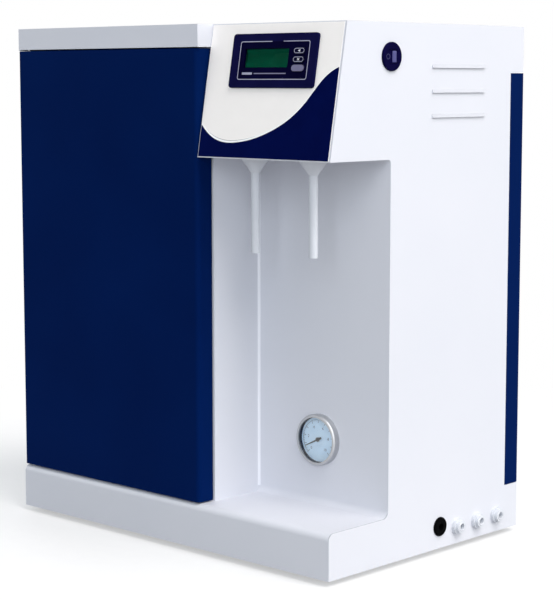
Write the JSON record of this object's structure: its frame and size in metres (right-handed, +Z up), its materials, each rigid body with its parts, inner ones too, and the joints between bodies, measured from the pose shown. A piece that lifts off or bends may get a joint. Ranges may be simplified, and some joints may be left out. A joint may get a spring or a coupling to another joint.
{
  "type": "laboratory water purifier",
  "caption": "Bench water purifier: sheet-metal cabinet with a hinged filter door, open dispensing bay, leaning display head, outlets, pressure gauge and rocker switch.",
  "frame": {"origin": "middle of the footprint on the bench, under the feet", "axes": "+X to the user's right, +Y to the back, +Z up"},
  "size_m": [0.467, 0.3071, 0.54],
  "materials": {
    "white_paint": "satin powder coat",
    "blue_paint": "satin powder coat",
    "rubber": "moulded",
    "steel": "zinc plated",
    "magnet": "moulded case",
    "label": "printed polyester film",
    "bezel_plastic": "satin moulding",
    "window": "clear acrylic",
    "display": "green display",
    "board": "solder mask",
    "key": "moulded",
    "switch_plastic": "moulded",
    "gauge_black": "black lacquer",
    "chrome": "polished",
    "dial": "printed",
    "gauge_glass": "clear",
    "white_plastic": "moulded",
    "black_plastic": "moulded nylon",
    "filter_plastic": "moulded",
    "column_plastic": "moulded",
    "motor_paint": "black lacquer",
    "pump_plastic": "moulded",
    "tube": "translucent tube"
  },
  "bodies": {
    "cabinet": {"base_pan": "white_paint", "front_apron": "white_paint", "left_side_panel": "white_paint", "right_side_panel": "white_paint", "bay_back_panel": "white_paint", "bay_side_wall": "white_paint", "head_panel": "white_paint", "top_cover": "white_paint", "divider_panel": "white_paint", "mounting_plate": "white_paint", "rear_cover": "blue_paint", "feet": "rubber", "pump_mounts": "rubber", "cover_screws": "steel", "hinge_pins": "steel", "board_screws": "steel", "board_standoffs": "steel", "gauge_clamp": "steel", "outlet_nuts": "steel", "pump_bracket": "steel", "power_supply": "steel", "door_magnet": "magnet", "head_label": "label", "display_bezel": "bezel_plastic", "display_window": "window", "display_module": "display", "keypad_board": "board", "control_board": "board", "switch_housing": "switch_plastic", "gauge_case": "gauge_black", "gauge_bezel": "chrome", "gauge_dial": "dial", "gauge_lens": "gauge_glass", "product_outlet": "white_plastic", "permeate_outlet": "white_plastic", "feed_port": "white_plastic", "drain_port": "white_plastic", "tank_port": "white_plastic", "column_clips": "white_plastic", "cable_gland": "black_plastic", "lock_nuts": "black_plastic", "filter_manifold": "filter_plastic", "sediment_filter": "filter_plastic", "carbon_filter": "filter_plastic", "scale_filter": "filter_plastic", "membrane_housing": "column_plastic", "membrane_cap": "column_plastic", "polishing_columns": "column_plastic", "pump_motor": "motor_paint", "pump_head": "pump_plastic", "solenoid_valves": "pump_plastic", "water_lines": "tube"},
    "door": {"door_panel": "blue_paint", "strike_plate": "steel"},
    "rocker": {"power_rocker": "switch_plastic"},
    "key_upper": {"upper_key": "key"},
    "key_middle": {"middle_key": "key"},
    "key_lower": {"lower_key": "key"},
    "needle": {"gauge_needle": "gauge_black"},
    "shaft": {"pump_shaft": "steel"}
  },
  "joints": [
    {"name": "door_hinge", "type": "hinge", "parent": "cabinet", "child": "door", "pos_m": [-0.2255, -0.1425, 0.28495], "axis": [0, 0, -1], "range_deg": [0, 110]},
    {"name": "rocker_tilt", "type": "hinge", "parent": "cabinet", "child": "rocker", "pos_m": [0.2245, -0.065, 0.507], "axis": [0, 0, 1], "range_deg": [0, 20]},
    {"name": "upper_key_press", "type": "slide", "parent": "cabinet", "child": "key_upper", "axis": [0, 0.9845, -0.1753], "range_m": [0, 0.0008], "stiffness_N_per_m": 1000},
    {"name": "middle_key_press", "type": "slide", "parent": "cabinet", "child": "key_middle", "axis": [0, 0.9845, -0.1753], "range_m": [0, 0.0008], "stiffness_N_per_m": 1000},
    {"name": "lower_key_press", "type": "slide", "parent": "cabinet", "child": "key_lower", "axis": [0, 0.9845, -0.1753], "range_m": [0, 0.0008], "stiffness_N_per_m": 1000},
    {"name": "needle_turn", "type": "hinge", "parent": "cabinet", "child": "needle", "pos_m": [0.1355, -0.064, 0.12], "axis": [0, 1, 0], "range_deg": [-19, 251], "stiffness_Nm_per_rad": 0.004},
    {"name": "pump_turn", "type": "hinge", "parent": "cabinet", "child": "shaft", "pos_m": [-0.07275, -0.03, 0.1005], "axis": [1, 0, 0], "continuous": true}
  ]
}
